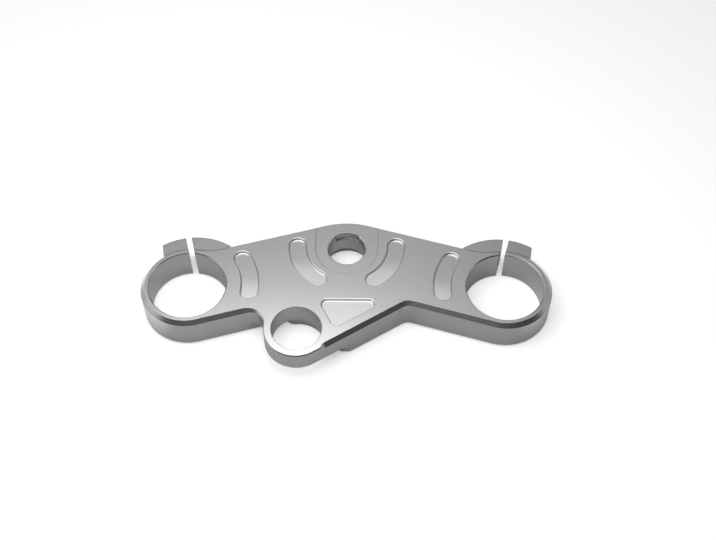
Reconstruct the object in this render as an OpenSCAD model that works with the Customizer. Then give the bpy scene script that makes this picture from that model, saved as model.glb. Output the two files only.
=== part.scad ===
// Motorcycle top triple clamp, machined from one aluminium billet.
// Origin: steering stem axis at the underside. +X across the motorcycle, +Y to the rider, +Z up.

/* [Plate] */
// Thickness of the plate
plate_t = 23.5; // [20:0.5:28]
// Leg of the wide 45 degree bevel round the top edge
bevel = 2.6; // [1:0.1:3.5]
// Leg of the 45 degree chamfer round the bottom edges
foot_chamfer = 1.5; // [0.3:0.1:1.6]

/* [Fork clamps] */
// Distance between the two fork tube axes
fork_span = 205; // [195:1:220]
// How far the fork axes lie ahead of the stem axis
fork_offset = 30; // [26:0.5:34]
// Diameter of the fork bores
fork_bore = 50; // [46:0.5:54]
// Wall of the ring round a fork bore
ring_wall = 5.4; // [4.5:0.1:8]
// Chamfer of the fork bores
bore_chamfer = 0.75; // [0.3:0.05:1.2]

/* [Arms and crown] */
// Forward sweep of the arms' front walls
front_sweep = 16.5; // [14:0.5:20]
// Forward sweep of the arms' rear walls
rear_sweep = 16.5; // [14:0.5:18]
// Land behind the stem bore, which sets the crown's radius
rear_land = 10.75; // [9:0.25:13]
// Radius of the inside corner between a ring and the rear wall
rear_fillet = 42; // [30:1:60]
// Radius of the inside corner between an arm and the nose
front_fillet = 7; // [4:0.5:10]
// Sweep of the nose's front walls
nose_sweep = 32.4; // [30:0.2:34]
// How far the nose's flat tip lies ahead of the stem axis
nose_reach = 66.2; // [64:0.2:67]
// Corner radius of the nose's flat tip
nose_r = 2.5; // [2.2:0.1:3]

/* [Stem seat] */
// Diameter of the steering stem bore
stem_bore = 24.5; // [20:0.5:28]
// Chamfer of the stem bore
stem_chamfer = 0.6; // [0.2:0.1:1]
// Radius of the U-shaped nut seat round the stem bore
seat_r = 20.4; // [18:0.2:23]
// Depth of the nut seat
seat_depth = 0.5; // [0.2:0.1:1.5]
// Diameter of the recess round the stem bore in the underside
stem_recess = 31; // [28:0.5:34]
// Depth of the recess in the underside
recess_depth = 7.4; // [5:0.2:9]

/* [Switch lobe] */
// How far the switch bore lies left of the stem axis
switch_left = 30.75; // [29:0.25:33]
// How far the switch bore lies ahead of the stem axis
switch_ahead = 62.75; // [61:0.25:64]
// Diameter of the ignition switch bore
switch_bore = 32; // [28:0.5:34]
// Chamfer of the switch bore
switch_chamfer = 0.3; // [0.1:0.1:0.6]
// Wall of the ring round the switch bore
switch_wall = 4.9; // [4:0.1:6]
// Chamfer round the lobe's top edge
lobe_chamfer = 0.6; // [0.3:0.1:1]
// Thickness of the lobe, whose underside is raised
lobe_t = 15.2; // [12:0.2:18]
// Radius of the inside corner between the left arm and the lobe
lobe_fillet = 9.8; // [8:0.2:12]
// Diameter of the round relief for the switch barrel in the underside
barrel_relief = 36; // [34:0.5:40]
// Radius of the bevel cutter where the bevel ends at the lobe's corner
left_cutter_r = 9; // [6:0.5:9.5]
// Radius of the bevel cutter where the bevel ends at the switch ring
right_cutter_r = 3; // [2:0.5:5]

/* [Clamp lugs] */
// Radius of a lug's rear wall
lug_r = 40.5; // [39:0.5:42]
// How far the lug's arc centre lies inboard of the fork axis
lug_inset = 2.5; // [1:0.5:4]
// How far the lug's top lies below the plate's top
lug_step = 3; // [2.8:0.1:6]
// Angle of the lug's outer end face to the middle plane
lug_tilt = 10; // [6:0.5:14]
// Distance of the lug's end face from the fork axis
lug_end = 13.9; // [12:0.1:16]
// Width of the clamp slit
slit_w = 3.6; // [2:0.1:4]
// Angle of the slit to the middle plane
slit_tilt = 15; // [10:0.5:18]
// How far the slit's middle passes inboard of the fork axis
slit_inset = 7.2; // [6:0.1:9]

/* [Pinch bolts] */
// Clearance hole for a pinch bolt in the outer ear
bolt_clearance = 6.6; // [5.5:0.1:7]
// Tapping hole for a pinch bolt in the inner ear
bolt_tap = 5; // [4:0.1:5.5]
// Length of thread in the inner ear
thread_length = 12; // [8:0.5:13]

/* [Pockets] */
// Depth of the pockets in the top face
pocket_depth = 2; // [1.5:0.1:3]
// Width of the arc pockets
pocket_w = 11.3; // [9:0.1:12]
// Middle radius of the inner pockets
inner_r = 32.5; // [31:0.25:34]
// How far the inner pockets' arc centre lies behind the stem axis
inner_back = 2.5; // [1:0.25:4]
// Angle that each inner pocket runs round
inner_sweep = 56; // [40:1:60]
// Middle radius of the outer pockets, about the fork axis
outer_r = 40.4; // [39:0.2:42]
// Angle where an outer pocket starts, ahead of the fork axis
outer_from = 7; // [4:1:9]
// Angle where an outer pocket ends, behind the fork axis
outer_to = 32; // [26:1:34]
// How far the triangular pocket's rear wall lies ahead of the stem axis
tri_ahead = 40.35; // [39:0.25:43]
// Land between the triangular pocket and the nose's front wall
tri_land = 8.4; // [7:0.2:10]
// How far the triangle's left wall passes left of the stem axis, measured square to it
tri_left = 34.2; // [33:0.2:36]
// Angle of the triangle's left wall from the cross direction
tri_lean = 63.4; // [58:0.2:68]
// Corner radius of the triangular pocket
tri_r = 3.9; // [2.5:0.1:4.5]

/* [Hidden] */
$fn = 96;

// How far a cut passes through the face it opens
over = 0.5;
// Arcs are this share larger than true tangency asks, so that they cross their neighbours cleanly
ease = 1 / 1500;
// How far a cut that passes another wall may bite into it
graze = 0.02;
// How far an arc's cut runs on past its ends, in degrees
run_on = 5;
// Angle past the lobe's wall at which the left bevel cutter has left the part
lift_off = 20;
// Shortest straight edge that is worth a cut of its own
shortest = 0.001;

// Every outline here is a loop of arcs, anticlockwise, each [centre, radius, from, to].
// An arc that turns back is an inside corner. Straight edges join one arc to the next.
function toward(a) = [cos(a), sin(a)];
function arc_start(s) = s[0] + s[1] * toward(s[2]);
function arc_end(s) = s[0] + s[1] * toward(s[3]);
function outside(s) = s[3] >= s[2];
function eased(s) = s[1] * (1 + ease);
function mirrored(s) = [[-s[0][0], s[0][1]], s[1], 180 - s[3], 180 - s[2]];
function flipped(arcs) = [for (i = [len(arcs) - 1:-1:0]) mirrored(arcs[i])];
function corner(p) = [p, 0, 0, 0];

// Where two lines meet, each given by the angle of its normal and its distance along it
function meet(a, da, b, db) =
    [da * sin(b) - db * sin(a), db * cos(a) - da * cos(b)] / sin(b - a);
function reach(p, a) = p * toward(a);

fork = [fork_span / 2, -fork_offset];
crown = [0, -fork_offset];
switch = [-switch_left, -switch_ahead];
ring_r = fork_bore / 2 + ring_wall;
lobe_r = switch_bore / 2 + switch_wall;
crown_r = fork_offset + stem_bore / 2 + rear_land;

// Normals and distances of the straight walls on the right
front_n = -90 - front_sweep;
front_d = reach(fork, front_n) + ring_r;
rear_n = 90 - rear_sweep;
nose_n = -90 + nose_sweep;
nose_d = reach(switch, nose_n) + lobe_r;
left_front_n = 180 - front_n - 360;

// Inside corner between an arm and the nose
front_c = meet(front_n, front_d + front_fillet, nose_n, nose_d + front_fillet);

// Inside corner between a ring and the rear wall, tangent to both
rear_rise = crown_r + rear_fillet - reach(fork - crown, rear_n);
rear_run = sqrt(pow(ring_r + rear_fillet, 2) - pow(rear_rise, 2));
rear_c = fork + rear_rise * toward(rear_n) + rear_run * toward(rear_n + 90);
rear_a = atan2(rear_c[1] - fork[1], rear_c[0] - fork[0]);

// Inside corner between the left arm and the lobe's straight left wall
lobe_d = -switch[0] + lobe_r;
lobe_c = meet(left_front_n, front_d + lobe_fillet, 180, lobe_d + lobe_fillet);

// Corner of the nose's flat tip
tip_c = meet(-90, nose_reach - nose_r, nose_n, nose_d - nose_r);

right_side = [
    [front_c, front_fillet, nose_n + 180, front_n + 180],
    [fork, ring_r, front_n, rear_a],
    [rear_c, rear_fillet, rear_a + 180, rear_n + 180],
];
left_side = flipped(right_side);
crown_arc = [crown, crown_r, rear_n, 180 - rear_n];
tip = [tip_c, nose_r, -90, nose_n];
lobe_corner = [lobe_c, lobe_fillet, left_front_n + 180, 0];
lobe_ring = [switch, lobe_r, 180, nose_n + 360];

// The whole plate has the upper edge, and below the lobe it is cut back to the symmetric lower edge
lower_edge = concat(right_side, [crown_arc], left_side, [mirrored(tip), tip]);
upper_edge = concat(right_side, [crown_arc, left_side[0], left_side[1], lobe_corner, lobe_ring]);

// The wide bevel's cutter stops where its top touches the lobe's own chamfer
left_stop = meet(left_front_n, front_d + left_cutter_r,
                 180, lobe_d - lobe_chamfer + left_cutter_r + bevel);
right_run = sqrt(pow(lobe_r - lobe_chamfer + right_cutter_r + bevel, 2)
                 - pow(lobe_r + right_cutter_r, 2));
right_stop = switch + (lobe_r + right_cutter_r) * toward(nose_n) + right_run * toward(nose_n + 90);
bevel_edge = concat(
    [[right_stop, right_cutter_r, nose_n + 270, nose_n + 180]],
    right_side, [crown_arc, left_side[0], left_side[1]],
    [[left_stop, left_cutter_r, left_front_n + 180, -lift_off]]);
lobe_top_edge = [lobe_corner, lobe_ring, corner(right_stop - right_cutter_r * toward(nose_n))];
tip_corner = meet(-90, nose_reach, nose_n, nose_d);
lobe_foot_edge = [lobe_corner, lobe_ring, corner(tip_corner)];

// Area round the lobe that is cut away from below, as far as the lower body's own walls
area_end = tip_c + 2 * lobe_r * toward(nose_n - 2 * run_on);
lobe_area = [
    lobe_c,
    lobe_c + 2 * lobe_fillet * toward(left_front_n + 180 - 2 * run_on),
    crown, tip_c, area_end, [lobe_c[0], area_end[1]],
];

// The triangular pocket, whose rear and nose walls run along the plate's own
tri_rear_d = -tri_ahead - tri_r;
tri_front_d = nose_d - tri_land - tri_r;
tri_left_n = 270 - tri_lean;
tri_left_d = tri_left - tri_r;
triangle = [
    [meet(90, tri_rear_d, tri_left_n, tri_left_d), tri_r, 90, tri_left_n],
    [meet(tri_left_n, tri_left_d, nose_n, tri_front_d), tri_r, tri_left_n, nose_n + 360],
    [meet(nose_n, tri_front_d, 90, tri_rear_d), tri_r, nose_n, 90],
];

// Slice of a circle that holds an outside arc and a little beyond its ends
module arc_slice(s) {
    steps = 8;
    from = s[2] - run_on;
    step = (s[3] - s[2] + 2 * run_on) / steps;
    intersection() {
        translate(s[0])
            circle(r = eased(s));
        polygon([s[0], for (i = [0:steps]) s[0] + 2 * s[1] * toward(from + i * step)]);
    }
}

module outline(arcs) {
    difference() {
        union() {
            polygon([for (s = arcs) each s[1] > 0 ? [arc_start(s), arc_end(s)] : [s[0]]]);
            for (s = arcs)
                if (outside(s) && s[1] > 0)
                    arc_slice(s);
        }
        for (s = arcs)
            if (!outside(s))
                translate(s[0])
                    circle(r = eased(s));
    }
}

// Sweeps a profile along an outline; the profile's x runs into the material and its y runs up.
// Cuts round inside corners run on into the edges beside them, and straight cuts run on past
// outside corners, where there is nothing left to cut.
module along(arcs, closed = false) {
    for (s = arcs)
        if (s[1] > 0) {
            more = outside(s) ? 0 : run_on;
            translate(s[0])
                rotate(min(s[2], s[3]) - more)
                    rotate_extrude(angle = abs(s[3] - s[2]) + 2 * more)
                        translate([eased(s), 0])
                            mirror([outside(s) ? 1 : 0, 0])
                                children();
        }
    for (i = [0:len(arcs) - (closed ? 1 : 2)]) {
        next = arcs[(i + 1) % len(arcs)];
        a = arc_end(arcs[i]);
        b = arc_start(next);
        before = outside(arcs[i]) ? arcs[i][1] * sin(run_on) : 0;
        after = outside(next) ? next[1] * sin(run_on) : 0;
        if (norm(b - a) > shortest)
            translate(a)
                rotate(atan2(b[1] - a[1], b[0] - a[0]))
                    translate([-before, 0, 0])
                        rotate([90, 0, 90])
                            linear_extrude(norm(b - a) + before + after)
                                children();
    }
}

// Section that cuts a 45 degree bevel off an edge at the origin, from so far above the edge
module bevel_profile(leg, above = over) {
    polygon([[leg + above, above], [-over, -leg - over], [-over, above]]);
}

// Outline of a pocket round an arc, with the cutter's own round ends
module arc_slot(c, r, from, to) {
    steps = 4;
    step = (to - from) / steps;
    translate(c) {
        intersection() {
            difference() {
                circle(r = r + pocket_w / 2);
                circle(r = r - pocket_w / 2);
            }
            polygon([[0, 0], for (i = [0:steps]) 2 * r * toward(from + i * step)]);
        }
        for (a = [from, to])
            translate(r * toward(a))
                circle(r = pocket_w / 2 * (1 + ease));
    }
}

module pocket() {
    translate([0, 0, plate_t - pocket_depth])
        linear_extrude(pocket_depth + over)
            children();
}

// Bore with a chamfer at each end that has one
module bore(d, bottom, top, top_chamfer, foot = 0) {
    translate([0, 0, bottom - over])
        cylinder(h = top - bottom + 2 * over, d = d);
    translate([0, 0, top - top_chamfer])
        cylinder(h = top_chamfer + over, r1 = d / 2, r2 = d / 2 + top_chamfer + over);
    if (foot > 0)
        translate([0, 0, bottom - over])
            cylinder(h = foot + over, r1 = d / 2 + foot + over, r2 = d / 2);
}

module both_sides() {
    children();
    mirror([1, 0, 0])
        children();
}

lobe_z = plate_t - lobe_t;
lug_h = plate_t - lug_step;

// The plate with its bevels, before the lugs are added
module plate() {
    difference() {
        linear_extrude(plate_t)
            outline(upper_edge);
        translate([0, 0, -over])
            linear_extrude(lobe_z + over)
                difference() {
                    polygon(lobe_area);
                    outline(lower_edge);
                }
        translate([0, 0, plate_t])
            along(bevel_edge)
                bevel_profile(bevel);
        translate([0, 0, plate_t])
            along(lobe_top_edge)
                bevel_profile(lobe_chamfer);
        mirror([0, 0, 1])
            along(lower_edge, closed = true)
                bevel_profile(foot_chamfer);
        translate([0, 0, lobe_z])
            mirror([0, 0, 1])
                along(lobe_foot_edge)
                    bevel_profile(foot_chamfer, graze);
    }
}

// Lug behind the right-hand fork bore, which the slit splits into two ears
module lug() {
    linear_extrude(lug_h)
        intersection() {
            translate([fork[0] - lug_inset, fork[1]])
                circle(r = lug_r);
            translate(fork)
                rotate(-lug_tilt)
                    translate([lug_end - 2 * lug_r, 0])
                        square(2 * lug_r);
        }
}

module slit() {
    translate(fork)
        rotate(-slit_tilt)
            translate([-slit_inset - slit_w / 2, 0, -over])
                cube([slit_w, fork_bore / 2 + lug_r, plate_t + 2 * over]);
}

// Pinch bolt hole, clear through the outer ear and tapped in the inner ear
module pinch_hole() {
    bolt_offset = (fork_bore / 2 + lug_r) / 2;
    slit_x = bolt_offset * tan(slit_tilt - lug_tilt) - slit_inset / cos(slit_tilt - lug_tilt);
    ear_x = slit_x - slit_w / 2;
    translate(fork)
        rotate(-lug_tilt)
            translate([0, bolt_offset, lug_h / 2]) {
                translate([slit_x, 0, 0])
                    rotate([0, 90, 0])
                        cylinder(h = lug_end - slit_x + over, d = bolt_clearance);
                translate([ear_x - thread_length, 0, 0])
                    rotate([0, 90, 0])
                        cylinder(h = thread_length + slit_w / 2, d = bolt_tap);
            }
}

// U-shaped seat for the stem nut, open to the rear
module stem_seat() {
    rear = crown_r + over;
    translate([0, 0, plate_t - seat_depth])
        linear_extrude(seat_depth + over)
            outline([[[0, 0], seat_r, 180, 360], corner([seat_r, rear]), corner([-seat_r, rear])]);
}

module top_clamp() {
    color("silver")
        difference() {
            union() {
                plate();
                both_sides()
                    lug();
            }
            both_sides() {
                translate(fork)
                    bore(fork_bore, 0, plate_t, bore_chamfer, foot = bore_chamfer);
                slit();
                pinch_hole();
                pocket()
                    arc_slot([0, inner_back], inner_r, -inner_sweep, 0);
                pocket()
                    arc_slot(fork, outer_r, 180 - outer_to, 180 + outer_from);
            }
            bore(stem_bore, recess_depth, plate_t - seat_depth, stem_chamfer);
            translate([0, 0, -over])
                cylinder(h = recess_depth + over, d = stem_recess);
            stem_seat();
            translate(switch)
                bore(switch_bore, lobe_z, plate_t, switch_chamfer, foot = switch_chamfer);
            translate([switch[0], switch[1], -over])
                cylinder(h = lobe_z + over, d = barrel_relief);
            pocket()
                outline(triangle);
        }
}

top_clamp();
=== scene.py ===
"""Top clamp of a motorcycle fork, milled from one aluminium billet.

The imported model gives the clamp's shape. Here it gets what that model lacks: the
keyway behind the stem bore, an even wall beside the lobe, the round that the
cutter's nose leaves at the pocket floors, the broken edges, the cutter's marks
and the anodised finish. It lies on a pale studio floor.
"""

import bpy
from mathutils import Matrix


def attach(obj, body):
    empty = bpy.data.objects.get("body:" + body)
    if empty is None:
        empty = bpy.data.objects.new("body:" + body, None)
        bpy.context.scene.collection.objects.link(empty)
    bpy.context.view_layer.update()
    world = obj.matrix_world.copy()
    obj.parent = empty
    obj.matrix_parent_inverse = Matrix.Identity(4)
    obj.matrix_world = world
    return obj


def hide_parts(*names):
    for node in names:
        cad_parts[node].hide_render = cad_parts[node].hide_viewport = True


bl_info = {
    "name": "Billet top clamp",
    "version": (1, 0, 0),
    "blender": (4, 5, 0),
    "location": "3D View > Sidebar > Top clamp",
    "description": "Finishes a billet top clamp and sets it on a studio floor",
    "category": "Object",
}

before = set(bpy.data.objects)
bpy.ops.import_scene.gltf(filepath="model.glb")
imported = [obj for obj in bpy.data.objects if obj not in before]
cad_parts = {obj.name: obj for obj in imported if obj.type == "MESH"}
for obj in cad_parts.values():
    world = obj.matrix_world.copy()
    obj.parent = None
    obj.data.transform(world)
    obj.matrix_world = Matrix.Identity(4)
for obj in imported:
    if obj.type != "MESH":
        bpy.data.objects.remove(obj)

import math

import bmesh
import bpy
from bpy.props import FloatProperty, FloatVectorProperty, PointerProperty
from bpy.types import NodeSocket, Operator, Panel, PropertyGroup
from mathutils import Matrix, Vector

NODE = "top_clamp"
MILLED_FLOOR = "satin_anodised_milled_floor"
MM = 0.001

# The clamp's own sizes are in millimetres, from the stem's axis and the underside.
PLATE_TOP = 23.5
POCKET_DEPTH = 2.0
POCKET_WIDTH = 11.3
FORK_X, FORK_Y = 102.5, -30.0
# Each arc pocket: centre x and y, radius, the angle of its near end, and the angle
# where the cutter's marks have faded.
ARC_POCKETS = (
    (0.0, 2.5, 32.5, -56.0, -16.0),
    (0.0, 2.5, 32.5, 236.0, 196.0),
    (FORK_X, FORK_Y, 40.4, 187.0, 169.0),
    (-FORK_X, FORK_Y, 40.4, -7.0, 8.0),
)
# One mark: how far its ends stay from the pocket's wall, and half its width.
MARK_INSET = 1.0
MARK_HALF_WIDTH = 0.35
# Along Y an inner arc pocket's floor is rougher up to the first value and plain from the
# second. The triangular pocket lies ahead of both, so it is rough all over.
ROUGH_UP_TO, PLAIN_FROM = -22.0, -4.0
EXTRA_ROUGHNESS = 0.16
# The outer pockets' values lie further forward. Across the clamp, that sets in between
# the inner pockets and the outer ones.
OUTER_AHEAD = 16.0
OUTER_FROM, OUTER_WHOLLY = 45.0, 52.0

# The keyway behind the stem bore: its radius, half its width, the radius of its
# corners, and the height at which its sloping floor meets the bore's wall.
STEM_BORE_RADIUS = 12.25
KEYWAY_RADIUS = 13.3
KEYWAY_HALF = 7.6
KEYWAY_CORNER = 1.3
KEYWAY_FLOOR = 17.2
# The left arm's front wall by the lobe: a point on it, its sweep and the way it faces.
ARM_CORNER = Vector((-65.15, -50.642, 0.0))
ARM_SWEEP = math.radians(16.5)
OUT_OF_ARM = Vector((math.sin(ARM_SWEEP), -math.cos(ARM_SWEEP), 0.0))
# The block that fills the notch in that wall, and the bump below it.
NOTCH_LENGTH, NOTCH_DEPTH = 6.9, 1.9
NOTCH_FOOT, NOTCH_TOP = 8.0, 9.9
BUMP_LENGTH, BUMP_HEIGHT, BUMP_TOP = 5.0, 0.2, 8.5

# Distances that are closed up: between loose triangles, and across a hair-thin face.
LOOSE = 0.002 * MM
HAIR = 0.03 * MM
# A face narrower than this is a sliver, and a point nearer to a level lies on it.
SLIVER = 0.06 * MM
LEVEL = 0.01 * MM
# Where the flat faces are parted along Y: each cut passes near the middle of a bore or a
# pocket, and all of them have one.
CUTS = (-101.3, -64.7, -27.6, 0.7, 27.6, 64.7, 101.3)
# The share of the edge break that an edge gets: a pocket's rim, any other sharp edge, and
# an edge between a face and a chamfer.
RIM_SHARE, EDGE_SHARE, CHAMFER_SHARE = 1.0, 0.2, 0.07

# The studio, in metres and degrees.
FLOOR_HALF = 3.0
FLOOR_DROP = 0.1 * MM
SOFTBOX_WATTS = 3.05
SOFTBOX_SIZE = (0.7, 0.69)
SOFTBOX_PLACE = (-0.1, -0.12, 0.52)
CAMERA_LENS = 58.13
CAMERA_PLACE = (0.01517, -0.4564, 0.6344)
CAMERA_PITCH, CAMERA_YAW, CAMERA_ROLL = 54.307, -0.993, 0.394
WHITE = (1.0, 1.0, 1.0, 1.0)


def linear(hex_colour):
    """The linear RGBA of an sRGB colour written as #RRGGBB."""
    channels = [int(hex_colour[i : i + 2], 16) / 255 for i in (1, 3, 5)]
    return (
        *((c / 12.92 if c <= 0.04045 else ((c + 0.055) / 1.055) ** 2.4) for c in channels),
        1.0,
    )


def add_node(tree, kind, settings=None, inputs=None):
    """A new node in the tree. An input is a value, or an output that is linked to it."""
    node = tree.nodes.new(kind)
    for name, value in (settings or {}).items():
        setattr(node, name, value)
    for socket, value in (inputs or {}).items():
        if isinstance(value, NodeSocket):
            tree.links.new(value, node.inputs[socket])
        else:
            node.inputs[socket].default_value = value
    return node


def smooth_step(tree, value, low, high, start=0.0, end=1.0):
    """The output that goes smoothly from start at low to end at high."""
    return add_node(
        tree,
        "ShaderNodeMapRange",
        {"interpolation_type": "SMOOTHSTEP"},
        {"Value": value, "From Min": low, "From Max": high, "To Min": start, "To Max": end},
    ).outputs["Result"]


def maths(tree, operation, *values):
    """The output of a Math node on those values."""
    return add_node(
        tree, "ShaderNodeMath", {"operation": operation}, dict(enumerate(values))
    ).outputs["Value"]


class TopClampSizes(PropertyGroup):
    """Small sizes that the cutters and the deburring leave on the clamp."""

    floor_radius: FloatProperty(
        name="Pocket floor radius",
        description="Radius that the cutter's nose leaves where a wall meets a pocket's floor",
        default=0.5 * MM,
        min=0.2 * MM,
        max=1.8 * MM,
        unit="LENGTH",
    )
    edge_break: FloatProperty(
        name="Edge break",
        description="Width of the round on a pocket's rim, of which other edges get a share",
        default=0.45 * MM,
        min=0.05 * MM,
        max=0.8 * MM,
        unit="LENGTH",
    )
    mark_pitch: FloatProperty(
        name="Cutter mark pitch",
        description="Distance between the cutter's marks along a pocket's floor",
        default=0.7 * MM,
        min=0.5 * MM,
        max=3.0 * MM,
        unit="LENGTH",
    )
    mark_height: FloatProperty(
        name="Cutter mark height",
        description="Height of the cusp between two passes of the cutter",
        default=0.02 * MM,
        min=0.01 * MM,
        max=0.1 * MM,
        unit="LENGTH",
    )


class TopClampFinish(PropertyGroup):
    """The anodised finish."""

    colour: FloatVectorProperty(
        name="Anodised colour",
        description="Colour that the clear anodised metal reflects",
        default=linear("#CFCDCE"),
        size=4,
        min=0.0,
        max=1.0,
        subtype="COLOR",
    )
    roughness: FloatProperty(
        name="Roughness",
        description="How matt the blasting leaves the metal",
        default=0.26,
        min=0.05,
        max=0.8,
        subtype="FACTOR",
    )


class TopClampStudio(PropertyGroup):
    """The floor and the light."""

    floor_colour: FloatVectorProperty(
        name="Floor colour",
        description="Colour of the studio's paper floor",
        default=linear("#ACACAC"),
        size=4,
        min=0.0,
        max=1.0,
        subtype="COLOR",
    )
    light_level: FloatProperty(
        name="Light level",
        description="Strength of the light, where 1 shows a pale surface as it is written",
        default=1.0,
        min=0.1,
        max=3.0,
    )


def anodised_metal(name, finish):
    """A new material of that name, with its tree, of clear-anodised aluminium."""
    material = bpy.data.materials.new(name)
    material.use_nodes = True
    tree = material.node_tree
    tree.nodes.clear()
    shader = add_node(
        tree,
        "ShaderNodeBsdfPrincipled",
        {},
        {
            "Base Color": tuple(finish.colour),
            "Metallic": 1.0,
            "Roughness": finish.roughness,
        },
    )
    add_node(tree, "ShaderNodeOutputMaterial", {}, {"Surface": shader.outputs["BSDF"]})
    return material, tree, shader


def billet_material(finish):
    """Satin clear-anodised aluminium, milled all over and fine bead blasted first. The
    blasting widens each highlight into a soft band, and the clear coat keeps the
    metal's own cool grey."""
    return anodised_metal("satin_clear_anodised_aluminium", finish)[0]


def milled_floor_material(finish):
    """The same finish on the pockets' floors, where fine cusps of the cutter lie under
    the blasting. They scatter the light further towards each pocket's near end, which
    makes it paler than the face round it."""
    material, tree, shader = anodised_metal(MILLED_FLOOR, finish)
    place = add_node(tree, "ShaderNodeTexCoord").outputs["Object"]
    across, along, _ = add_node(tree, "ShaderNodeSeparateXYZ", {}, {"Vector": place}).outputs
    ahead = smooth_step(
        tree,
        maths(tree, "ABSOLUTE", across),
        OUTER_FROM * MM,
        OUTER_WHOLLY * MM,
        0.0,
        OUTER_AHEAD * MM,
    )
    near = smooth_step(
        tree,
        maths(tree, "ADD", along, ahead),
        ROUGH_UP_TO * MM,
        PLAIN_FROM * MM,
        1.0,
        0.0,
    )
    rough = maths(tree, "MULTIPLY_ADD", near, EXTRA_ROUGHNESS, finish.roughness)
    tree.links.new(rough, shader.inputs["Roughness"])
    return material


def new_piece(name, mesh):
    """A new object of that mesh in the scene, at the origin."""
    piece = bpy.data.objects.new(name, mesh)
    bpy.context.scene.collection.objects.link(piece)
    return piece


def ride_and_name(piece):
    """The piece moves with the clamp."""
    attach(piece, "root")


def notch_filler():
    """A mesh of the block that fills the notch between the left arm and the lobe."""
    along_arm = Vector((math.cos(ARM_SWEEP), math.sin(ARM_SWEEP), 0.0))
    block = bmesh.new()
    bmesh.ops.create_cube(block, size=1.0)
    for corner in block.verts:
        x, y, z = corner.co
        corner.co = MM * (
            ARM_CORNER
            + (x + 0.5) * NOTCH_LENGTH * along_arm
            + (y - 0.5) * NOTCH_DEPTH * OUT_OF_ARM
            + Vector((0.0, 0.0, NOTCH_TOP if z > 0 else NOTCH_FOOT))
        )
    bmesh.ops.recalc_face_normals(block, faces=block.faces)
    mesh = bpy.data.meshes.new("notch_filler")
    block.to_mesh(mesh)
    block.free()
    return mesh


def keyway_outline():
    """The keyway's outline and its middle, as points in millimetres."""
    reach = KEYWAY_RADIUS - KEYWAY_CORNER
    corner_x = KEYWAY_HALF - KEYWAY_CORNER
    corner_y = math.sqrt(reach**2 - corner_x**2)
    turn = math.atan2(corner_y, corner_x)
    corner_steps, rear_steps = 6, 18
    side = [
        (
            corner_x + KEYWAY_CORNER * math.cos(turn * i / corner_steps),
            corner_y + KEYWAY_CORNER * math.sin(turn * i / corner_steps),
        )
        for i in range(corner_steps + 1)
    ]
    rear = [
        (
            KEYWAY_RADIUS * math.cos(turn + (math.pi - 2 * turn) * i / rear_steps),
            KEYWAY_RADIUS * math.sin(turn + (math.pi - 2 * turn) * i / rear_steps),
        )
        for i in range(1, rear_steps)
    ]
    other_side = [(-x, y) for x, y in reversed(side)]
    return [(0, 0), (KEYWAY_HALF, 0), *side, *rear, *other_side, (-KEYWAY_HALF, 0)]


def keyway_cutter():
    """A mesh of what the keyway behind the stem bore takes away."""
    outline = keyway_outline()
    # The floor is a cone, which falls at 45 degrees towards the bore's axis.
    fall = KEYWAY_FLOOR - STEM_BORE_RADIUS
    above = PLATE_TOP + 1.0
    cutter = bmesh.new()
    low = [
        cutter.verts.new((x * MM, y * MM, (fall + math.hypot(x, y)) * MM))
        for x, y in outline
    ]
    high = [cutter.verts.new((x * MM, y * MM, above * MM)) for x, y in outline]
    cutter.faces.new(high)
    for i, corner in enumerate(low):
        after = (i + 1) % len(low)
        cutter.faces.new((corner, low[after], high[after], high[i]))
        if 0 < i < len(low) - 1:
            cutter.faces.new((low[0], low[i + 1], corner))
    bmesh.ops.recalc_face_normals(cutter, faces=cutter.faces)
    mesh = bpy.data.meshes.new("keyway_cutter")
    cutter.to_mesh(mesh)
    cutter.free()
    return mesh


def combined(mesh, other, operation):
    """The mesh joined with the other one, or cut by it."""
    blank = new_piece("blank", mesh)
    tool = new_piece("tool", other)
    step = blank.modifiers.new("Step", "BOOLEAN")
    step.operation = operation
    step.solver = "EXACT"
    step.object = tool
    graph = bpy.context.evaluated_depsgraph_get()
    done = bpy.data.meshes.new_from_object(blank.evaluated_get(graph))
    bpy.data.objects.remove(blank)
    bpy.data.objects.remove(tool)
    return done


def flatten_bump(work):
    """Takes the low bump off the left arm's wall beside the lobe."""
    for corner in work.verts:
        place = corner.co - MM * ARM_CORNER
        proud = place.dot(OUT_OF_ARM)
        by_lobe = 0 < place.x < BUMP_LENGTH * MM and place.z < BUMP_TOP * MM
        if by_lobe and 0 < proud < BUMP_HEIGHT * MM:
            corner.co -= proud * OUT_OF_ARM


def join_flat_faces(work):
    """Joins the triangles of each flat face. A face can't hold a hole then, so cuts
    through the middles of the bores and pockets part it first, and stay as seams."""
    for x in CUTS:
        flat = [face for face in work.faces if abs(face.normal.z) > 0.9999]
        cut = bmesh.ops.bisect_plane(
            work,
            geom=list({item for face in flat for item in (face, *face.edges, *face.verts)}),
            dist=0.0005 * MM,
            plane_co=(x * MM, 0, 0),
            plane_no=(1, 0, 0),
        )
        for item in cut["geom_cut"]:
            if isinstance(item, bmesh.types.BMEdge):
                item.seam = True
    bmesh.ops.remove_doubles(work, verts=work.verts, dist=HAIR)
    bmesh.ops.dissolve_limit(
        work,
        angle_limit=math.radians(0.3),
        verts=work.verts,
        edges=work.edges,
        use_dissolve_boundaries=False,
        delimit={"SEAM"},
    )


def at_level(item, height):
    """Whether the edge or face lies at that height all over."""
    return all(abs(corner.co.z - height) < LEVEL for corner in item.verts)


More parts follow.
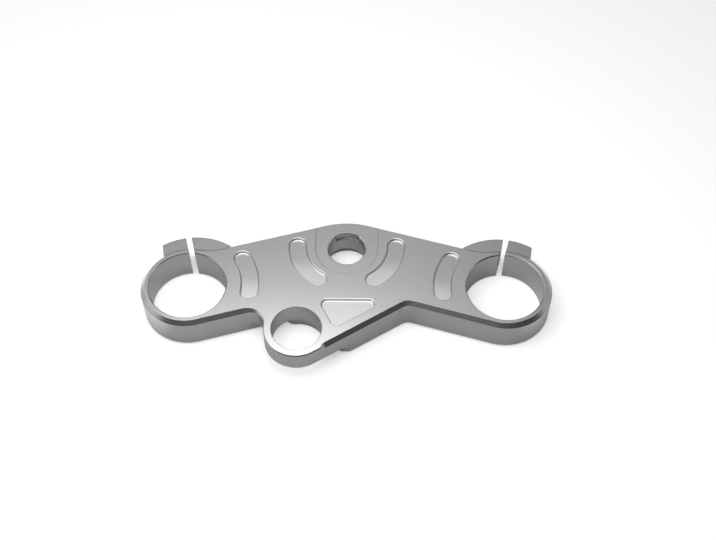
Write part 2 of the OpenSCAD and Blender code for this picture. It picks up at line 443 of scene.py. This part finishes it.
def round_pocket_floors(work, floor, radius):
    """Rounds each pocket where its wall meets its floor, as the cutter's nose does."""
    rims = [
        edge
        for edge in work.edges
        if at_level(edge, floor)
        and len(edge.link_faces) == 2
        and edge.calc_face_angle(0.0) > math.radians(60)
    ]
    if not rims:
        raise RuntimeError("the clamp has no pocket floors to round")
    bmesh.ops.bevel(
        work,
        geom=rims,
        offset=radius,
        offset_type="OFFSET",
        segments=5,
        profile=0.5,
        affect="EDGES",
        clamp_overlap=False,
    )


def weigh_edges(work):
    """Gives each sharp edge its share of the edge break. Slivers get none, because no
    tool made them."""
    weight = work.edges.layers.float.new("bevel_weight_edge")
    slivers = {
        face
        for face in work.faces
        if face.calc_area() < SLIVER * max(edge.calc_length() for edge in face.edges)
    }
    for edge in work.edges:
        angle = edge.calc_face_angle(0.0)
        if angle < math.radians(32) or slivers & {*edge.link_faces}:
            continue
        steep = any(abs(face.normal.z) < 0.1 for face in edge.link_faces)
        if at_level(edge, PLATE_TOP * MM) and steep:
            edge[weight] = RIM_SHARE
        else:
            edge[weight] = EDGE_SHARE if angle > math.radians(50) else CHAMFER_SHARE


def break_edges(piece, width):
    """Rounds the weighed edges as tumbling does, and keeps the flat faces flat."""
    edges = piece.modifiers.new("Edge break", "BEVEL")
    edges.width = width
    edges.segments = 2
    edges.limit_method = "WEIGHT"
    edges.use_clamp_overlap = False
    edges.harden_normals = False
    # Flat faces keep their own normal, and only the rounds between them turn.
    normals = piece.modifiers.new("Flat faces", "WEIGHTED_NORMAL")
    normals.mode = "FACE_AREA"
    normals.weight = 100
    normals.keep_sharp = False


class TOP_CLAMP_OT_dressed_clamp(Operator):
    """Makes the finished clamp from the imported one"""

    bl_idname = "top_clamp.dressed_clamp"
    bl_label = "Dressed clamp"

    def execute(self, context):
        sizes = context.scene.top_clamp_sizes
        finish = context.scene.top_clamp_finish
        floor = (PLATE_TOP - POCKET_DEPTH) * MM
        work = bmesh.new()
        work.from_mesh(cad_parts[NODE].data)
        bmesh.ops.remove_doubles(work, verts=work.verts, dist=LOOSE)
        blank = bpy.data.meshes.new("closed_clamp")
        work.to_mesh(blank)
        work.clear()
        blank = combined(blank, keyway_cutter(), "DIFFERENCE")
        # The arm's wall runs on evenly up to the lobe's chamfer.
        blank = combined(blank, notch_filler(), "UNION")
        work.from_mesh(blank)
        flatten_bump(work)
        join_flat_faces(work)
        round_pocket_floors(work, floor, sizes.floor_radius)
        weigh_edges(work)
        mesh = bpy.data.meshes.new("dressed_clamp")
        mesh.materials.append(billet_material(finish))
        mesh.materials.append(milled_floor_material(finish))
        for face in work.faces:
            face.smooth = True
            face.material_index = 1 if at_level(face, floor) else 0
        work.to_mesh(mesh)
        work.free()
        piece = new_piece("dressed_clamp", mesh)
        break_edges(piece, sizes.edge_break)
        ride_and_name(piece)
        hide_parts(NODE)
        return {"FINISHED"}


def one_mark(tree, sizes):
    """The output with one cutter mark: the thin, flat-shaded ridge of a half circle
    that the cutter's leading edge scribes, open towards +X."""
    arc = add_node(
        tree,
        "GeometryNodeCurveArc",
        {"mode": "RADIUS"},
        {
            "Resolution": 13,
            "Radius": sizes["Sweep radius"],
            "Start Angle": math.radians(102),
            "Sweep Angle": math.radians(156),
        },
    )
    # The ridge's section is a flat diamond, whose lower half lies in the floor.
    section = add_node(
        tree,
        "GeometryNodeCurvePrimitiveCircle",
        {"mode": "RADIUS"},
        {"Resolution": 4, "Radius": 1.0},
    )
    squash = add_node(
        tree,
        "ShaderNodeCombineXYZ",
        {},
        {0: sizes["Mark half width"], 1: sizes["Mark height"], 2: 1.0},
    )
    profile = add_node(
        tree,
        "GeometryNodeTransform",
        {},
        {"Geometry": section.outputs["Curve"], "Scale": squash.outputs["Vector"]},
    )
    ridge = add_node(
        tree,
        "GeometryNodeCurveToMesh",
        {},
        {
            "Curve": arc.outputs["Curve"],
            "Profile Curve": profile.outputs["Geometry"],
            "Fill Caps": True,
        },
    )
    return add_node(
        tree,
        "GeometryNodeSetShadeSmooth",
        {},
        {"Geometry": ridge.outputs["Mesh"], "Shade Smooth": False},
    ).outputs["Geometry"]


def mark_tree():
    """A tree that repeats one cutter mark along each path it is given. The real marks
    lie closer than a picture shows, so the pitch is coarser than theirs."""
    tree = bpy.data.node_groups.new("cutter_marks", "GeometryNodeTree")
    sockets = tree.interface
    sockets.new_socket("Geometry", in_out="INPUT", socket_type="NodeSocketGeometry")
    for name in ("Pitch", "Sweep radius", "Mark half width", "Mark height"):
        sockets.new_socket(name, in_out="INPUT", socket_type="NodeSocketFloat")
    sockets.new_socket("Material", in_out="INPUT", socket_type="NodeSocketMaterial")
    sockets.new_socket("Geometry", in_out="OUTPUT", socket_type="NodeSocketGeometry")
    given = add_node(tree, "NodeGroupInput").outputs
    path = add_node(tree, "GeometryNodeMeshToCurve", {}, {"Mesh": given["Geometry"]})
    steps = add_node(
        tree,
        "GeometryNodeResampleCurve",
        {"mode": "LENGTH"},
        {"Curve": path.outputs["Curve"], "Length": given["Pitch"]},
    )
    tangent = add_node(tree, "GeometryNodeInputTangent")
    turn = add_node(
        tree,
        "FunctionNodeAlignRotationToVector",
        {"axis": "X"},
        {"Vector": tangent.outputs["Tangent"]},
    )
    # The marks grow fainter along the pocket, as the cutter settles.
    along = add_node(tree, "GeometryNodeSplineParameter").outputs["Factor"]
    fade = maths(tree, "MULTIPLY_ADD", along, -0.75, 1.0)
    lower = add_node(tree, "ShaderNodeCombineXYZ", {}, {0: 1.0, 1: 1.0, 2: fade})
    marks = add_node(
        tree,
        "GeometryNodeInstanceOnPoints",
        {},
        {
            "Points": steps.outputs["Curve"],
            "Instance": one_mark(tree, given),
            "Rotation": turn.outputs["Rotation"],
            "Scale": lower.outputs["Vector"],
        },
    )
    real = add_node(
        tree, "GeometryNodeRealizeInstances", {}, {"Geometry": marks.outputs["Instances"]}
    )
    metal = add_node(
        tree,
        "GeometryNodeSetMaterial",
        {},
        {"Geometry": real.outputs["Geometry"], "Material": given["Material"]},
    )
    add_node(tree, "NodeGroupOutput", {}, {"Geometry": metal.outputs["Geometry"]})
    return tree


def cutter_paths():
    """A mesh of the cutter's path along each arc pocket's floor, from its near end."""
    degrees_per_step = 2
    points, edges = [], []
    for x, y, radius, first, last in ARC_POCKETS:
        count = round(abs(last - first) / degrees_per_step)
        start = len(points)
        for i in range(count + 1):
            angle = math.radians(first + (last - first) * i / count)
            points.append(
                (
                    (x + radius * math.cos(angle)) * MM,
                    (y + radius * math.sin(angle)) * MM,
                    (PLATE_TOP - POCKET_DEPTH) * MM,
                )
            )
            if i:
                edges.append((start + i - 1, start + i))
    mesh = bpy.data.meshes.new("cutter_path")
    mesh.from_pydata(points, edges, [])
    return mesh


class TOP_CLAMP_OT_cutter_marks(Operator):
    """Makes the marks that the cutter left on the arc pockets' floors"""

    bl_idname = "top_clamp.cutter_marks"
    bl_label = "Cutter marks"

    def execute(self, context):
        sizes = context.scene.top_clamp_sizes
        holder = new_piece("cutter_path", cutter_paths())
        tree = mark_tree()
        modifier = holder.modifiers.new("Cutter marks", "NODES")
        modifier.node_group = tree
        values = {
            "Pitch": sizes.mark_pitch,
            "Sweep radius": (POCKET_WIDTH / 2 - MARK_INSET) * MM,
            "Mark half width": MARK_HALF_WIDTH * MM,
            "Mark height": sizes.mark_height,
            "Material": bpy.data.materials[MILLED_FLOOR],
        }
        for item in tree.interface.items_tree:
            if item.in_out == "INPUT" and item.name in values:
                modifier[item.identifier] = values[item.name]
        done = bpy.data.meshes.new_from_object(
            holder.evaluated_get(context.evaluated_depsgraph_get())
        )
        bpy.data.objects.remove(holder)
        if not done.polygons:
            raise RuntimeError("the cutter marks came out empty")
        done.name = "cutter_marks"
        piece = new_piece("cutter_marks", done)
        ride_and_name(piece)
        return {"FINISHED"}


def painted_glow_strength(tree, place, across, along):
    """The strength of a painted glow at the sweep's far end, which only reflections see,
    behind the clamp and 0.5 m wide. Beside the clamp it starts further back."""
    away = add_node(
        tree, "ShaderNodeVectorMath", {"operation": "DISTANCE"}, {0: place, 1: (-0.03, 0.1, 0.0)}
    ).outputs["Value"]
    beside = smooth_step(tree, maths(tree, "ABSOLUTE", across), 0.125, 0.155, 0.0, 0.07)
    return maths(
        tree,
        "MULTIPLY",
        smooth_step(tree, away, 0.14, 0.27, 0.72, 0.0),
        smooth_step(tree, maths(tree, "ADD", along, beside), 0.015, 0.06),
    )


def paper_with_painted_light(tree, across, colour):
    """The paper's colour, painted paler beyond the clamp's two ends as a painted pool of light,
    which the ends' walls mirror."""
    # Painted light: where the paper is painted paler, left and right of the clamp.
    painted_pale_left = maths(
        tree,
        "MULTIPLY",
        smooth_step(tree, across, -0.112, -0.14),
        smooth_step(tree, across, -0.2, -0.165, 0.5, 1.0),
    )
    painted_pale_right = smooth_step(tree, across, 0.112, 0.14, 0.0, 0.6)
    # Painted light: the pale #E6E6E6 is mixed into the paper's colour there.
    return add_node(
        tree,
        "ShaderNodeMix",
        {"data_type": "RGBA"},
        {0: maths(tree, "ADD", painted_pale_left, painted_pale_right), 6: tuple(colour), 7: linear("#E6E6E6")},
    ).outputs[2]


def floor_material(studio):
    """White paper sweep. A camera ray sees it lit up to white with a soft shadow. A reflection
    sees a painted glow at its far end behind the clamp, and paper painted paler beyond its ends."""
    glow_in_view, tone_in_view = 0.44, (0.68, 0.68, 0.68, 1.0)
    material = bpy.data.materials.new("paper_sweep")
    material.use_nodes = True
    tree = material.node_tree
    tree.nodes.clear()
    seen = add_node(tree, "ShaderNodeLightPath").outputs
    place = add_node(tree, "ShaderNodeTexCoord").outputs["Object"]
    across, along, _ = add_node(tree, "ShaderNodeSeparateXYZ", {}, {"Vector": place}).outputs
    # Painted glow at the far end of the floor, seen only in reflections.
    patch = painted_glow_strength(tree, place, across, along)
    mirrored = maths(tree, "MAXIMUM", seen["Is Glossy Ray"], seen["Is Transmission Ray"])
    strength = maths(
        tree,
        "MULTIPLY_ADD",
        seen["Is Camera Ray"],
        glow_in_view,
        maths(tree, "MULTIPLY", mirrored, patch),
    )
    glow = add_node(
        tree, "ShaderNodeEmission", {}, {"Color": WHITE, "Strength": strength}
    ).outputs["Emission"]
    # Painted light: all rays but the camera's see the paper painted paler beyond the clamp's
    # ends.
    tone = paper_with_painted_light(tree, across, studio.floor_colour)
    paper = add_node(tree, "ShaderNodeBsdfDiffuse", {}, {"Color": tone}).outputs["BSDF"]
    in_view = add_node(
        tree, "ShaderNodeBsdfDiffuse", {}, {"Color": tone_in_view}
    ).outputs["BSDF"]
    surface = add_node(
        tree, "ShaderNodeMixShader", {}, {0: seen["Is Camera Ray"], 1: paper, 2: in_view}
    ).outputs["Shader"]
    both = add_node(tree, "ShaderNodeAddShader", {}, {0: surface, 1: glow}).outputs["Shader"]
    add_node(tree, "ShaderNodeOutputMaterial", {}, {"Surface": both})
    return material


def studio_world(level):
    """Pale walls behind and at the sides of the clamp, a little brighter to its left,
    and the dark of the room on the camera's side, as smooth functions of direction."""
    world = bpy.data.worlds.new("soft_studio")
    bpy.context.scene.world = world
    world.use_nodes = True
    tree = world.node_tree
    tree.nodes.clear()
    way = add_node(tree, "ShaderNodeTexCoord").outputs["Generated"]
    x, y, z = add_node(tree, "ShaderNodeSeparateXYZ", {}, {"Vector": way}).outputs
    # From the dark room to the walls, a little earlier on the left.
    walls = smooth_step(tree, maths(tree, "MULTIPLY_ADD", x, -0.168, y), -0.52, -0.18, 0.06, 0.58)
    # The rear wall is brightest at its foot, and once more high up, mostly on the left.
    upper = maths(
        tree,
        "MULTIPLY",
        smooth_step(tree, z, 0.68, 0.82, 0.0, 0.35),
        smooth_step(tree, x, 0.09, 0.16, 1.0, 0.5),
    )
    band = maths(tree, "ADD", smooth_step(tree, z, 0.2, 0.42, 0.85, 0.3), upper)
    rear = smooth_step(tree, y, 0.1, 0.5)
    # A narrow lit panel stands in the middle of the rear wall, high up.
    off_centre = maths(tree, "ABSOLUTE", maths(tree, "ADD", x, 0.01))
    panel = maths(
        tree,
        "MULTIPLY",
        smooth_step(tree, off_centre, 0.05, 0.18, 0.26, 0.0),
        maths(tree, "MULTIPLY", rear, smooth_step(tree, z, 0.6, 0.76)),
    )
    banded = add_node(tree, "ShaderNodeMix", {}, {0: rear, 2: 1.0, 3: band}).outputs[0]
    leftward = maths(tree, "MULTIPLY_ADD", x, -0.18, 1.0)
    dome = maths(tree, "MULTIPLY", maths(tree, "MULTIPLY", walls, banded), leftward)
    total = maths(tree, "MULTIPLY", maths(tree, "ADD", dome, panel), level)
    light = add_node(
        tree, "ShaderNodeBackground", {}, {"Color": WHITE, "Strength": total}
    ).outputs["Background"]
    white = add_node(tree, "ShaderNodeBackground", {}, {"Color": WHITE}).outputs["Background"]
    seen = add_node(tree, "ShaderNodeLightPath").outputs["Is Camera Ray"]
    sky = add_node(tree, "ShaderNodeMixShader", {}, {0: seen, 1: light, 2: white})
    add_node(tree, "ShaderNodeOutputWorld", {}, {"Surface": sky.outputs["Shader"]})


def add_softbox(level):
    """A wide softbox close over the clamp. Its back edge, mirrored in the top face,
    brightens the metal towards the camera."""
    data = bpy.data.lights.new("softbox", "AREA")
    data.shape = "ELLIPSE"
    data.size, data.size_y = SOFTBOX_SIZE
    data.energy = SOFTBOX_WATTS * level
    softbox = bpy.data.objects.new("softbox", data)
    softbox.location = SOFTBOX_PLACE
    softbox.visible_camera = False
    bpy.context.scene.collection.objects.link(softbox)


def add_camera():
    """The camera looks down at the clamp from its front, as in the photograph."""
    data = bpy.data.cameras.new("camera")
    data.sensor_width = 36.0
    data.lens = CAMERA_LENS
    data.clip_start, data.clip_end = 0.01, 20.0
    camera = bpy.data.objects.new("camera", data)
    bpy.context.scene.collection.objects.link(camera)
    pitch, yaw, roll = (math.radians(a) for a in (CAMERA_PITCH, CAMERA_YAW, CAMERA_ROLL))
    ahead = Vector(
        (math.sin(yaw) * math.cos(pitch), math.cos(yaw) * math.cos(pitch), -math.sin(pitch))
    )
    right = Vector((math.cos(yaw), -math.sin(yaw), 0.0))
    down = ahead.cross(right)
    across = math.cos(roll) * right + math.sin(roll) * down
    up = math.sin(roll) * right - math.cos(roll) * down
    turned = Matrix((across, up, -ahead)).transposed()
    camera.matrix_world = Matrix.Translation(CAMERA_PLACE) @ turned.to_4x4()
    bpy.context.scene.camera = camera


def add_floor(studio):
    """The paper floor, a hair below the clamp's underside."""
    half = FLOOR_HALF
    mesh = bpy.data.meshes.new("floor")
    mesh.from_pydata(
        [(-half, -half, 0), (half, -half, 0), (half, half, 0), (-half, half, 0)],
        [],
        [(0, 1, 2, 3)],
    )
    mesh.materials.append(floor_material(studio))
    mesh.transform(Matrix.Translation((0, 0, -FLOOR_DROP)))
    new_piece("floor", mesh)


class TOP_CLAMP_OT_studio(Operator):
    """Makes the floor, the light and the camera"""

    bl_idname = "top_clamp.studio"
    bl_label = "Studio"

    def execute(self, context):
        studio = context.scene.top_clamp_studio
        add_floor(studio)
        studio_world(studio.light_level)
        add_softbox(studio.light_level)
        add_camera()
        context.scene.view_settings.view_transform = "Standard"
        return {"FINISHED"}


class TOP_CLAMP_PT_panel(Panel):
    """Lists the clamp's pieces and their settings"""

    bl_label = "Top clamp"
    bl_idname = "TOP_CLAMP_PT_panel"
    bl_space_type = "VIEW_3D"
    bl_region_type = "UI"
    bl_category = "Top clamp"

    def draw(self, context):
        for group in GROUPS:
            settings = getattr(context.scene, group)
            box = self.layout.box()
            for name in settings.bl_rna.properties.keys():
                if name not in ("rna_type", "name"):
                    box.prop(settings, name)
        for operator in OPERATORS:
            self.layout.operator(operator.bl_idname)


GROUPS = {
    "top_clamp_sizes": TopClampSizes,
    "top_clamp_finish": TopClampFinish,
    "top_clamp_studio": TopClampStudio,
}
OPERATORS = (TOP_CLAMP_OT_dressed_clamp, TOP_CLAMP_OT_cutter_marks, TOP_CLAMP_OT_studio)
CLASSES = (*GROUPS.values(), *OPERATORS, TOP_CLAMP_PT_panel)


def register():
    for cls in CLASSES:
        bpy.utils.register_class(cls)
    for name, cls in GROUPS.items():
        setattr(bpy.types.Scene, name, PointerProperty(type=cls))


def unregister():
    for name in GROUPS:
        delattr(bpy.types.Scene, name)
    for cls in reversed(CLASSES):
        bpy.utils.unregister_class(cls)


def main():
    register()
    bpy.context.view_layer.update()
    bpy.ops.top_clamp.dressed_clamp()
    bpy.ops.top_clamp.cutter_marks()
    bpy.ops.top_clamp.studio()


if __name__ == "__main__":
    main()
